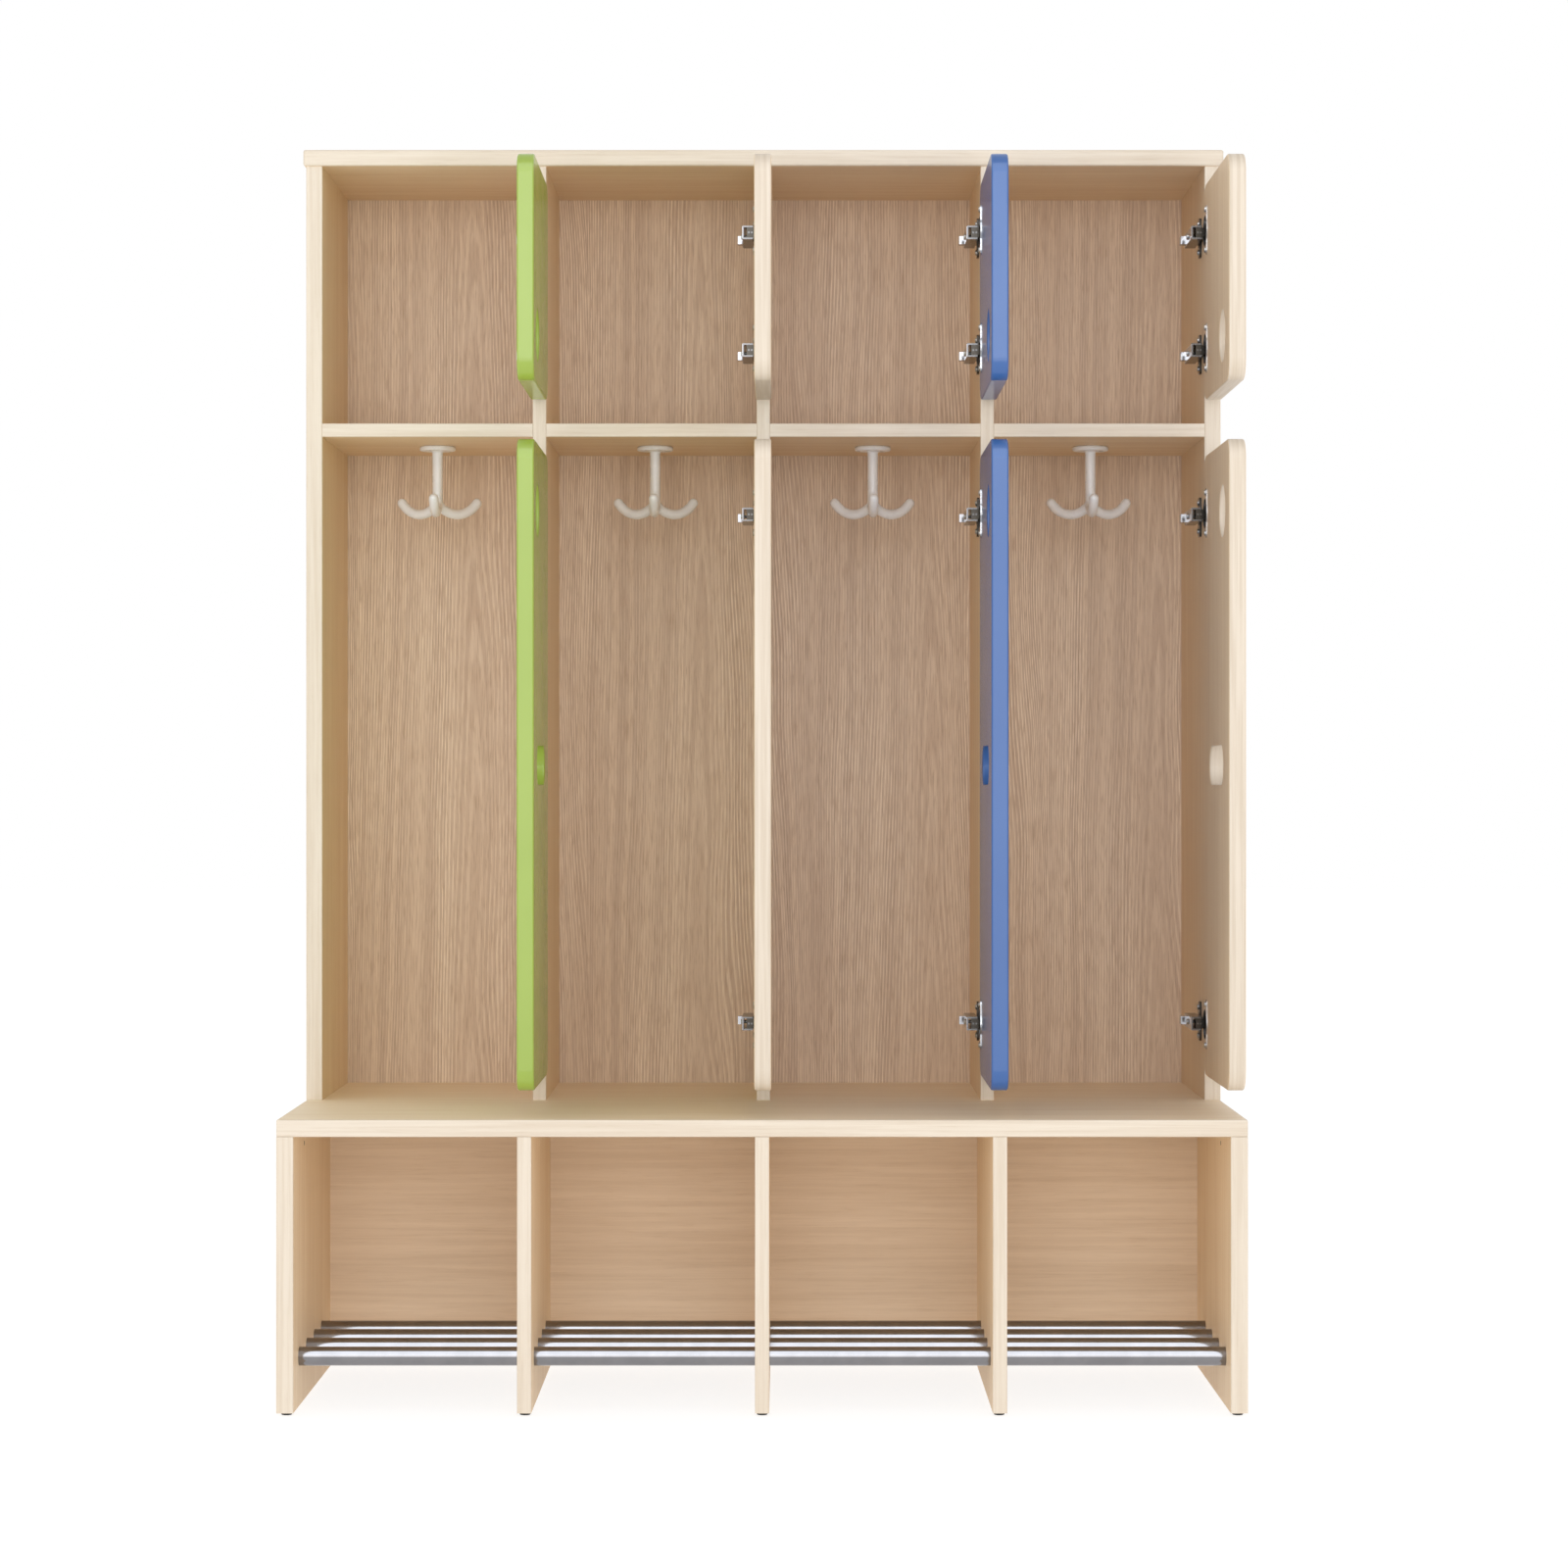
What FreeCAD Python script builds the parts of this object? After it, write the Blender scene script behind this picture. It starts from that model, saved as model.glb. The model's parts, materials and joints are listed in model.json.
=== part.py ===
"""Children's cloakroom bench: a seat with shoe bays under it and door lockers standing on it.

Millimetres. +X is to the right as seen from the front, the front faces -Y, +Z is up.
The origin is on the floor, under the middle of the piece. The doors are drawn open at 90 degrees.
"""
import FreeCAD, Part

import math
import os

from FreeCAD import Vector

# Places and board thicknesses
PLACES = 4                  # compartments side by side
PLACE_W = 234.75            # clear width of one compartment
SIDE_T = 18.0               # outer uprights, of the bench and of the lockers
DIVIDER_T = 15.0            # inner uprights
SHELF_T = 15.0
SEAT_T = 18.0
TOP_T = 18.0
DOOR_T = 18.0
BACK_T = 3.0                # thin back of the lockers
BENCH_BACK_T = 15.0         # boards at the back of the shoe bays

# Depths
BENCH_D = 510.0
LOCKER_D = 255.0
TOP_OVERHANG = 3.0          # the top stands past the sides and the front
BENCH_BACK_SETBACK = 330.0  # from the bench's front to the boards behind the shoes
REBATE_W = 9.0              # step in the locker sides that takes the thin back
BACK_FIT = 0.3              # play of the thin back in its step

# Heights
GLIDE_H = 4.0
BENCH_PANEL_H = 290.0
LOWER_CLEAR_H = 739.7       # seat to shelf
UPPER_CLEAR_H = 286.8       # shelf to top
BENCH_BACK_RISE = 26.0      # from the bench uprights' foot to the boards behind the shoes

# Eased edges
PANEL_EDGE_R = 1.0
SEAT_EDGE_R = 1.5
TOP_EDGE_R = 2.5
DOOR_EDGE_R = 2.0

# Doors
DOOR_GAP = 5.7              # between two closed neighbours
DOOR_CORNER_R = 22.0
LOWER_DOOR_BELOW = 28.6     # seat to door
LOWER_DOOR_ABOVE = 22.5     # door to shelf
UPPER_DOOR_BELOW = 24.2     # shelf to door
UPPER_DOOR_ABOVE = 23.0     # door to top
FINGER_D = 55.0             # round finger hole
FINGER_INSET = 65.0         # its centre from the free edge
UPPER_FINGER_RISE = 52.8    # its centre above the upper door's bottom
LOWER_FINGER_DROP = 72.8    # its centre below the lower door's top
SLOT_W = 132.0              # vent slot in the middle of the lower door
SLOT_H = 42.0

# Hinge line: where the door stands open and closed fixes the pin
PIN_DEPTH = 7.0             # pin behind the door's inner face
CLOSED_GAP = 2.8            # closed door in front of the lockers
OPEN_GAP = 2.3              # open door's edge in front of the lockers
OPEN_INSET = 1.0            # open door's inner face, inside the wall's face
PIN_R = 1.2
PIN_FIT = 0.05

# Hinge places along each door
UPPER_HINGE_TOP = 52.5
UPPER_HINGE_BOTTOM = 56.3
LOWER_HINGE_TOP = 64.8
LOWER_HINGE_BOTTOM = 57.4

# Hinge cup, pressed into the door
CUP_R = 17.5
CUP_DEPTH = 11.5
CUP_WALL = 1.0
CUP_EDGE = 3.0              # wood left between the cup and the door's edge
CUP_FIT = 0.1
FLANGE_T = 1.2
FLANGE_R = 17.8
EAR_OFFSET = 9.5            # cup screws, past the cup's centre
EAR_SPACING = 45.0
EAR_R = 5.0
LUG_T = 2.0                 # ears in the cup that carry the pin
LUG_R = 2.6
LUG_GAP = 0.3               # between an ear and the arm

# Hinge arm and its plate, on the wall
ARM_STANDOFF = 16.0         # arm's outer face from the wall
ARM_T = 1.8
ARM_H = 15.0
ARM_EDGE_R = 1.2
ARM_REAR = 62.0             # arm's end behind the lockers' front
ARM_CHEEK_STANDOFF = 4.0
LEG_T = 4.4                 # front end, bent to the cup
LEG_END = 3.0               # where it narrows, from the wall
LINK_STANDOFF = 11.0        # block between the arm's cheeks
LINK_SETBACK = 0.8
RIVET_R = 1.1
RIVET_SPACING = 3.4
NECK_H = 10.0               # slimmer end of the leg, inside the cup
NECK_T = 3.4
LEVER_L = 13.0              # release lever at the arm's end
LEVER_H = 9.0
LEVER_T = 5.5
PLATE_SETBACK = 37.0        # plate's screws behind the lockers' front
PLATE_T = 2.5
PLATE_L = 36.0
WING_L = 16.0
WING_H = 44.0
WING_SCREW_SPACING = 32.0
SADDLE_STANDOFF = 9.5       # rail under the arm, between its cheeks
SADDLE_FIT = 0.15

# Screws
SCREW_R = 1.75
SCREW_HEAD_R = 3.5
SCREW_HEAD_H = 1.6
SCREW_FIT = 0.05
SCREW_SKIN = 4.0            # wood left past a screw's tip
ARM_SCREW_R = 2.0
ARM_SCREW_L = 11.0
ARM_SCREW_SETBACK = 24.0
BACK_SCREW_R = 1.5
BACK_SCREW_HEAD_R = 3.0
BACK_SCREW_HEAD_H = 1.6
BACK_SCREW_L = 16.0
BACK_SCREW_INSET = 30.0     # from the thin back's ends
BACK_SCREWS = 6             # up each upright

# Dowels
DOWEL_R = 4.0
DOWEL_FIT = 0.05
DOWEL_IN_END = 20.0         # into a board's end
DOWEL_INSET = 45.0          # from a board's front and rear edges
SEAT_DOWEL_SKIN = 1.0       # wood left to the seat's middle
TOP_DOWEL_SKIN = 8.0        # wood left above a dowel in the top
WALL_DOWEL_SKIN = 1.5       # wood left to a divider's middle

# Shoe rails
RAILS = 4
RAIL_R = 10.0
RAIL_WALL = 1.5
RAIL_FIRST = 52.0           # first rail behind the bench's front
RAIL_PITCH = 66.5
RAIL_RISE = 52.5            # above the bench uprights' foot
RAIL_SEAT = 10.0            # rail's end in the bench side
RAIL_FIT = 0.15

# Coat hooks, under the middle of each shelf
HOOK_ARMS = 3
HOOK_FLANGE_R = 20.5
HOOK_FLANGE_T = 5.0
HOOK_FLANGE_EDGE_R = 2.0
HOOK_STEM_R = 5.9
HOOK_ARM_R = 5.5
HOOK_REACH = 50.0           # arm tip's centre from the stem
HOOK_DROP = 76.6           # lowest point of the arm's middle line
HOOK_TIP_DROP = 63.0       # tip's centre
HOOK_ROOT_DROP = 66.0       # arm's middle line in the stem
HOOK_LOW_REACH = 24.0       # lowest point from the stem
HOOK_STUD_R = 2.5
HOOK_STUD_IN_STEM = 22.0

# Glides and seat connectors
GLIDE_R = 5.75
GLIDE_INSET = 18.0          # from the bench uprights' front and rear edges
GLIDE_SPIKE_R = 1.25
GLIDE_SPIKE_L = 12.0
GLIDE_EDGE_R = 1.0
CONNECTOR_R = 2.5
CONNECTOR_INSET = 95.0      # from the bench's front and rear
CONNECTOR_DROP = 15.0       # below the seat
CONNECTOR_L = 9.0

# Positions that follow from the sizes
TOUCH = 1e-4
X, Y, Z = Vector(1, 0, 0), Vector(0, 1, 0), Vector(0, 0, 1)
pitch = PLACE_W + DIVIDER_T
width = PLACES * PLACE_W + (PLACES - 1) * DIVIDER_T + 2 * SIDE_T
bench_front = -BENCH_D / 2
rear = BENCH_D / 2
front = rear - LOCKER_D
back_face = rear - BACK_T
foot = GLIDE_H
seat_under = foot + BENCH_PANEL_H
seat_top = seat_under + SEAT_T
shelf_under = seat_top + LOWER_CLEAR_H
shelf_top = shelf_under + SHELF_T
top_under = shelf_top + UPPER_CLEAR_H
door_w = pitch - DOOR_GAP
door_edge_y = front - OPEN_GAP
pin_y = front - CLOSED_GAP - PIN_DEPTH
pin_inset = door_edge_y - pin_y
cup_inset = CUP_EDGE + CUP_R
lefts = [-width / 2 + SIDE_T + place * pitch for place in range(PLACES)]
walls = [left + PLACE_W for left in lefts]
uprights = ([(-width / 2, SIDE_T)] + [(wall, DIVIDER_T) for wall in walls[:-1]] + [(walls[-1], SIDE_T)])
wall_dowel_depth = DIVIDER_T / 2 - WALL_DOWEL_SKIN

parts = {}
dowels = []
cuts = []


def box(x0, x1, y0, y1, z0, z1):
    return Part.makeBox(x1 - x0, y1 - y0, z1 - z0, Vector(x0, y0, z0))


def rod(radius, length, base, along):
    return Part.makeCylinder(radius, length, base, along)


def edges_at(shape, **planes):
    """Edges that lie in all the given planes, such as X=0, Y=-3."""
    return [edge for edge in shape.Edges
            if all(abs(getattr(v, axis) - at) < TOUCH for v in edge.Vertexes for axis, at in planes.items())]


def upright(x, thickness, y0, y1, z0, z1):
    """Standing board with its two front edges eased."""
    board = box(x, x + thickness, y0, y1, z0, z1)
    edges = edges_at(board, X=x, Y=y0) + edges_at(board, X=x + thickness, Y=y0)
    return board.makeFillet(PANEL_EDGE_R, edges)


def level(x0, x1, y0, y1, z0, thickness, radius, ends):
    """Lying board with its front edges eased, and its ends too where they show."""
    board = box(x0, x1, y0, y1, z0, z0 + thickness)
    edges = edges_at(board, Y=y0, Z=z0) + edges_at(board, Y=y0, Z=z0 + thickness)
    if ends:
        for x in (x0, x1):
            edges += edges_at(board, X=x, Z=z0) + edges_at(board, X=x, Z=z0 + thickness)
            edges += edges_at(board, X=x, Y=y0)
    return board.makeFillet(radius, edges)


def bore(radius, length, base, along):
    """A hole, cut later from every board that it meets."""
    cuts.append(rod(radius, length, base, along))


def dowel(at, along, behind, ahead):
    """Dowel across the joint at a point, so far into the board behind it and the one ahead."""
    base = at - along * behind
    dowels.append(rod(DOWEL_R, behind + ahead, base, along))
    bore(DOWEL_R + DOWEL_FIT, behind + ahead, base, along)


def screw(seat, along, length, radius=SCREW_R, head_r=SCREW_HEAD_R, head_h=SCREW_HEAD_H):
    """Pan-head screw whose head sits on a face at a point and whose shank goes along."""
    crown = seat - along * head_h
    head = rod(head_r, head_h, crown, along)
    rim = [edge for edge in head.Edges if edge.Closed and edge.CenterOfMass.isEqual(crown, TOUCH)]
    head = head.makeFillet(head_h / 2, rim)
    return head.fuse(rod(radius, length, seat, along)).removeSplitter()


def rounded_rectangle(x, y0, y1, z0, z1, radius):
    """Face in the YZ plane at x."""
    quarter = radius * (1 - math.sqrt(0.5))
    corners = [(y0, z0, 1, 1), (y1, z0, -1, 1), (y1, z1, -1, -1), (y0, z1, 1, -1)]
    arcs = []
    for turn, (y, z, inward_y, inward_z) in enumerate(corners):
        low = Vector(x, y, z + inward_z * radius)
        side = Vector(x, y + inward_y * radius, z)
        middle = Vector(x, y + inward_y * quarter, z + inward_z * quarter)
        ends = (low, side) if turn % 2 == 0 else (side, low)
        arcs.append((ends[0], middle, ends[1]))
    edges = []
    for this, following in zip(arcs, arcs[1:] + arcs[:1]):
        edges.append(Part.Arc(*this).toShape())
        if not this[2].isEqual(following[0], TOUCH):
            edges.append(Part.LineSegment(this[2], following[0]).toShape())
    return Part.Face(Part.Wire(edges))


def group(shapes):
    return Part.makeCompound(shapes)


# Bench uprights, standing on glides
for number, (x, thickness) in enumerate(uprights):
    middle = x + thickness / 2
    names = {0: "bench_side_left", PLACES: "bench_side_right"}
    name = names.get(number, f"bench_divider_{number}")
    parts[name] = upright(x, thickness, bench_front, rear, foot, seat_under)
    for y in (bench_front + DOWEL_INSET, 0, rear - DOWEL_INSET):
        dowel(Vector(middle, y, seat_under), Z, DOWEL_IN_END, SEAT_T / 2 - SEAT_DOWEL_SKIN)

glides = []
for x, thickness in uprights:
    for y in (bench_front + GLIDE_INSET, rear - GLIDE_INSET):
        at = Vector(x + thickness / 2, y, 0)
        pad = rod(GLIDE_R, GLIDE_H, at, Z)
        pad = pad.makeFillet(GLIDE_EDGE_R, edges_at(pad, Z=0)[:1])
        spike_base = at + Z * GLIDE_H
        glides.append(pad.fuse(rod(GLIDE_SPIKE_R, GLIDE_SPIKE_L, spike_base, Z)).removeSplitter())
        bore(GLIDE_SPIKE_R + SCREW_FIT, GLIDE_SPIKE_L, spike_base, Z)
parts["glide_feet"] = group(glides)

# Boards behind the shoes, one between each two uprights
bench_back_y = bench_front + BENCH_BACK_SETBACK
bench_back_boards = []
for left, wall in zip(lefts, walls):
    bench_back_boards.append(box(left, wall, bench_back_y, bench_back_y + BENCH_BACK_T,
                                 foot + BENCH_BACK_RISE, seat_under))
    for z in (foot + BENCH_BACK_RISE + DOWEL_INSET, seat_under - DOWEL_INSET):
        middle_y = bench_back_y + BENCH_BACK_T / 2
        dowel(Vector(left, middle_y, z), -X, DOWEL_IN_END, wall_dowel_depth)
        dowel(Vector(wall, middle_y, z), X, DOWEL_IN_END, wall_dowel_depth)
parts["bench_back_boards"] = group(bench_back_boards)

# Shoe rails, threaded through the dividers with their ends in the bench sides
rail_start = lefts[0] - RAIL_SEAT
rail_length = walls[-1] + RAIL_SEAT - rail_start
for number in range(RAILS):
    base = Vector(rail_start, bench_front + RAIL_FIRST + number * RAIL_PITCH, foot + RAIL_RISE)
    tube = rod(RAIL_R, rail_length, base, X)
    parts[f"shoe_rail_{number + 1}"] = tube.cut(rod(RAIL_R - RAIL_WALL, rail_length, base, X))
    bore(RAIL_R + RAIL_FIT, rail_length, base, X)

# Seat, and the connectors that draw the bench sides up to it
parts["seat_board"] = level(-width / 2, width / 2, bench_front, rear, seat_under, SEAT_T, SEAT_EDGE_R, True)
connectors = []
for x, along in ((lefts[0], -X), (walls[-1], X)):
    for y in (bench_front + CONNECTOR_INSET, rear - CONNECTOR_INSET):
        at = Vector(x, y, seat_under - CONNECTOR_DROP)
        connectors.append(rod(CONNECTOR_R, CONNECTOR_L, at, along))
        bore(CONNECTOR_R + SCREW_FIT, CONNECTOR_L, at, along)
parts["seat_connectors"] = group(connectors)

# Locker uprights on the seat: the outer two are rebated for the thin back
rebate = SIDE_T - REBATE_W
for number, (x, thickness) in enumerate(uprights):
    outer = number in (0, PLACES)
    names = {0: "left_side_panel", PLACES: "right_side_panel"}
    name = names.get(number, f"divider_{number}")
    panel = upright(x, thickness, front, rear if outer else back_face, seat_top, top_under)
    if outer:
        step = x + rebate if number == 0 else x
        panel = panel.cut(box(step, step + REBATE_W, back_face, rear, seat_top, top_under))
    parts[name] = panel
    for y in (front + DOWEL_INSET, back_face - DOWEL_INSET):
        at = Vector(x + thickness / 2, y, 0)
        dowel(at + Z * seat_top, -Z, DOWEL_IN_END, SEAT_T / 2 - SEAT_DOWEL_SKIN)
        dowel(at + Z * top_under, Z, DOWEL_IN_END, TOP_T - TOP_DOWEL_SKIN)

# Shelves between the uprights
for number, (left, wall) in enumerate(zip(lefts, walls)):
    shelf = level(left, wall, front, back_face, shelf_under, SHELF_T, PANEL_EDGE_R, False)
    parts[f"shelf_{number + 1}"] = shelf
    for y in (front + DOWEL_INSET, back_face - DOWEL_INSET):
        middle_z = shelf_under + SHELF_T / 2
        dowel(Vector(left, y, middle_z), -X, DOWEL_IN_END, wall_dowel_depth)
        dowel(Vector(wall, y, middle_z), X, DOWEL_IN_END, wall_dowel_depth)

# Top board
parts["top_panel"] = level(-width / 2 - TOP_OVERHANG, width / 2 + TOP_OVERHANG, front - TOP_OVERHANG, rear,
                           top_under, TOP_T, TOP_EDGE_R, True)

# Thin back in the rebates, screwed to the rear edges of the uprights
back_half = width / 2 - rebate - BACK_FIT
parts["back_panel"] = box(-back_half, back_half, back_face, rear, seat_top, top_under)
back_screws = []
screw_run = top_under - seat_top - 2 * BACK_SCREW_INSET
for number, (x, thickness) in enumerate(uprights):
    line = {0: lefts[0] - REBATE_W / 2, PLACES: walls[-1] + REBATE_W / 2}.get(number, x + thickness / 2)
    for step in range(BACK_SCREWS):
        tail = Vector(line, rear, seat_top + BACK_SCREW_INSET + step * screw_run / (BACK_SCREWS - 1))
        head = Part.makeCone(BACK_SCREW_HEAD_R, BACK_SCREW_R, BACK_SCREW_HEAD_H, tail, -Y)
        back_screws.append(head.fuse(rod(BACK_SCREW_R, BACK_SCREW_L, tail, -Y)).removeSplitter())
        cuts.append(Part.makeCone(BACK_SCREW_HEAD_R + SCREW_FIT, BACK_SCREW_R + SCREW_FIT,
                                  BACK_SCREW_HEAD_H, tail, -Y))
        bore(BACK_SCREW_R + SCREW_FIT, BACK_SCREW_L, tail, -Y)
parts["back_panel_screws"] = group(back_screws)


# Coat hooks: a round flange, a stem and arms that curl up
def hook_arm(hub, turn):
    """One arm: two arcs that meet level at the lowest point, with a round tip."""
    def at(reach, drop):
        return hub + Vector(reach * math.sin(turn), -reach * math.cos(turn), -drop)

    def arc(reach, drop):
        """From the lowest point to an end of the arm, level at the lowest point."""
        run, rise = reach - HOOK_LOW_REACH, HOOK_DROP - drop
        radius = (run * run + rise * rise) / (2 * rise)
        half = math.asin(run / radius) / 2
        middle = at(HOOK_LOW_REACH + radius * math.sin(half), HOOK_DROP - radius * (1 - math.cos(half)))
        return middle, at(reach, drop)

    low = at(HOOK_LOW_REACH, HOOK_DROP)
    root_middle, root = arc(0, HOOK_ROOT_DROP)
    tip_middle, tip = arc(HOOK_REACH, HOOK_TIP_DROP)
    root_arc = Part.Arc(root, root_middle, low).toShape()
    tip_arc = Part.Arc(low, tip_middle, tip).toShape()
    section = Part.Wire(Part.makeCircle(HOOK_ARM_R, root, root_arc.tangentAt(root_arc.FirstParameter)))
    pipe = Part.Wire([root_arc, tip_arc]).makePipeShell([section], True, False)
    return pipe.fuse(Part.makeSphere(HOOK_ARM_R, tip))


studs = []
for number, (left, wall) in enumerate(zip(lefts, walls)):
    hub = Vector((left + wall) / 2, (front + back_face) / 2, shelf_under)
    flange = rod(HOOK_FLANGE_R, HOOK_FLANGE_T, hub, -Z)
    flange = flange.makeFillet(HOOK_FLANGE_EDGE_R, edges_at(flange, Z=shelf_under - HOOK_FLANGE_T)[:1])
    stem = rod(HOOK_STEM_R, HOOK_ROOT_DROP, hub, -Z).fuse(
        Part.makeSphere(HOOK_STEM_R, hub - Z * HOOK_ROOT_DROP))
    hook = flange.fuse([stem] + [hook_arm(hub, 2 * math.pi * arm / HOOK_ARMS) for arm in range(HOOK_ARMS)])
    stud_base = hub - Z * HOOK_STUD_IN_STEM
    stud_length = HOOK_STUD_IN_STEM + SHELF_T - SCREW_SKIN
    studs.append(rod(HOOK_STUD_R, stud_length, stud_base, Z))
    bore(HOOK_STUD_R + SCREW_FIT, stud_length, stud_base, Z)
    parts[f"coat_hook_{number + 1}"] = hook.cut(rod(HOOK_STUD_R + SCREW_FIT, stud_length, stud_base, Z))
parts["coat_hook_studs"] = group(studs)


# Doors, each with two cups let into its inner face
def door_point(wall, along, depth, z):
    """Point of the open door: along from its hinge edge, in from its inner face."""
    return Vector(wall - OPEN_INSET + depth, door_edge_y - along, z)


def door_panel(wall, z0, z1, holes):
    inner, outer = wall - OPEN_INSET, wall - OPEN_INSET + DOOR_T
    outline = rounded_rectangle(inner, door_edge_y - door_w, door_edge_y, z0, z1, DOOR_CORNER_R)
    panel = outline.extrude(X * DOOR_T).cut([hole.extrude(X * DOOR_T) for hole in holes])
    return panel.makeFillet(DOOR_EDGE_R, edges_at(panel, X=inner) + edges_at(panel, X=outer))


def finger_hole(wall, z):
    centre = door_point(wall, door_w - FINGER_INSET, 0, z)
    return Part.Face(Part.Wire(Part.makeCircle(FINGER_D / 2, centre, X)))


def vent_slot(wall, z):
    centre = door_point(wall, door_w / 2, 0, z)
    return rounded_rectangle(centre.x, centre.y - SLOT_W / 2, centre.y + SLOT_W / 2,
                             z - SLOT_H / 2, z + SLOT_H / 2, SLOT_H / 2)


def hinge_cup(wall, z):
    """Thin steel cup with a flange, two screw ears and two lugs that carry the pin."""
    centre = door_point(wall, cup_inset, 0, z)
    shell = rod(CUP_R, CUP_DEPTH, centre, X)
    flange = rod(FLANGE_R, FLANGE_T, centre, -X)
    ear_y = centre.y - EAR_OFFSET
    ear = box(centre.x - FLANGE_T, centre.x, ear_y - EAR_R, ear_y + EAR_R,
              z - EAR_SPACING / 2, z + EAR_SPACING / 2)
    ends = [rod(EAR_R, FLANGE_T, Vector(centre.x, ear_y, z + side * EAR_SPACING / 2), -X) for side in (-1, 1)]
    cup = shell.fuse([flange, ear] + ends).removeSplitter()
    cup = cup.cut(rod(CUP_R - CUP_WALL, CUP_DEPTH - CUP_WALL + FLANGE_T, centre - X * FLANGE_T, X))
    pin = door_point(wall, pin_inset, PIN_DEPTH, z)
    lugs = []
    for low in (NECK_H / 2 + LUG_GAP, -NECK_H / 2 - LUG_GAP - LUG_T):
        eye = rod(LUG_R, LUG_T, pin + Z * low, Z)
        web = box(pin.x, centre.x + CUP_DEPTH - CUP_WALL, pin.y - LUG_R, pin.y + LUG_R,
                  z + low, z + low + LUG_T)
        lugs.append(eye.fuse(web).common(shell))
    cup = cup.fuse(lugs).removeSplitter()
    holes = [rod(SCREW_R + SCREW_FIT, FLANGE_T, Vector(centre.x, ear_y, z + side * EAR_SPACING / 2), -X)
             for side in (-1, 1)]
    pin_l = NECK_H + 2 * (LUG_GAP + LUG_T)
    return cup.cut(holes + [rod(PIN_R + PIN_FIT, pin_l, pin - Z * pin_l / 2, Z)])


def cup_screws(wall, z):
    """The two screws of one cup."""
    ear = door_point(wall, cup_inset + EAR_OFFSET, -FLANGE_T, z)
    return [screw(ear + Z * side * EAR_SPACING / 2, X, FLANGE_T + DOOR_T - SCREW_SKIN) for side in (-1, 1)]


def door_with_cups(name, wall, z0, z1, holes, hinge_heights):
    panel = door_panel(wall, z0, z1, holes)
    for z in hinge_heights:
        panel = panel.cut(rod(CUP_R + CUP_FIT, CUP_DEPTH, door_point(wall, cup_inset, 0, z), X))
        for side in (-1, 1):
            ear = door_point(wall, cup_inset + EAR_OFFSET, 0, z + side * EAR_SPACING / 2)
            panel = panel.cut(rod(SCREW_R + SCREW_FIT, DOOR_T - SCREW_SKIN, ear, X))
    parts[f"{name}_panel"] = panel
    parts[f"{name}_hinge_cups"] = group([hinge_cup(wall, z) for z in hinge_heights])
    parts[f"{name}_cup_screws"] = group([part for z in hinge_heights for part in cup_screws(wall, z)])


upper_z0, upper_z1 = shelf_top + UPPER_DOOR_BELOW, top_under - UPPER_DOOR_ABOVE
lower_z0, lower_z1 = seat_top + LOWER_DOOR_BELOW, shelf_under - LOWER_DOOR_ABOVE
upper_hinges = [upper_z0 + UPPER_HINGE_BOTTOM, upper_z1 - UPPER_HINGE_TOP]
lower_hinges = [lower_z0 + LOWER_HINGE_BOTTOM, lower_z1 - LOWER_HINGE_TOP]
for number, wall in enumerate(walls):
    upper_holes = [finger_hole(wall, upper_z0 + UPPER_FINGER_RISE)]
    lower_holes = [finger_hole(wall, lower_z1 - LOWER_FINGER_DROP), vent_slot(wall, (lower_z0 + lower_z1) / 2)]
    door_with_cups(f"upper_door_{number + 1}", wall, upper_z0, upper_z1, upper_holes, upper_hinges)
    door_with_cups(f"lower_door_{number + 1}", wall, lower_z0, lower_z1, lower_holes, lower_hinges)


# Hinge arms, plates and pins on the right wall of each compartment
def hinge_arm(wall, z):
    """Channel over the plate's saddle, with a lever at its end and a riveted block in front.

    The block's neck enters the cup.
    """
    outer, pin_x = wall - ARM_STANDOFF, wall - OPEN_INSET + PIN_DEPTH
    leg_front, leg_end, end = pin_y - LEG_T / 2, wall - LEG_END, front + ARM_REAR
    low, high = z - ARM_H / 2, z + ARM_H / 2
    web = box(outer, outer + ARM_T, leg_front, end, low, high)
    cheeks = [box(outer, wall - ARM_CHEEK_STANDOFF, leg_front, end, bottom, bottom + ARM_T)
              for bottom in (low, high - ARM_T)]
    channel = web.fuse(cheeks).removeSplitter()
    corners = edges_at(channel, X=outer, Z=low) + edges_at(channel, X=outer, Z=high)
    channel = channel.makeFillet(ARM_EDGE_R, corners)
    lever = box(outer - LEVER_T, outer, end - LEVER_L, end, z - LEVER_H / 2, z + LEVER_H / 2)
    link = box(wall - LINK_STANDOFF, leg_end, leg_front + LINK_SETBACK, leg_front + LEG_T,
               low + ARM_T, high - ARM_T)
    link_middle = (wall - LINK_STANDOFF + leg_end) / 2
    rivets = [rod(RIVET_R, LINK_SETBACK, Vector(link_middle + side * RIVET_SPACING / 2, leg_front, z), Y)
              for side in (-1, 1)]
    neck = box(leg_end, pin_x, pin_y - NECK_T / 2, pin_y + NECK_T / 2, z - NECK_H / 2, z + NECK_H / 2)
    knuckle = rod(LEG_T / 2, NECK_H, Vector(pin_x, pin_y, z - NECK_H / 2), Z)
    arm = channel.fuse([lever, link, neck, knuckle] + rivets).removeSplitter()
    return arm.cut([rod(PIN_R + PIN_FIT, NECK_H, Vector(pin_x, pin_y, z - NECK_H / 2), Z),
                    rod(ARM_SCREW_R + SCREW_FIT, ARM_T, arm_screw_seat(wall, z), X)])


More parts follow.
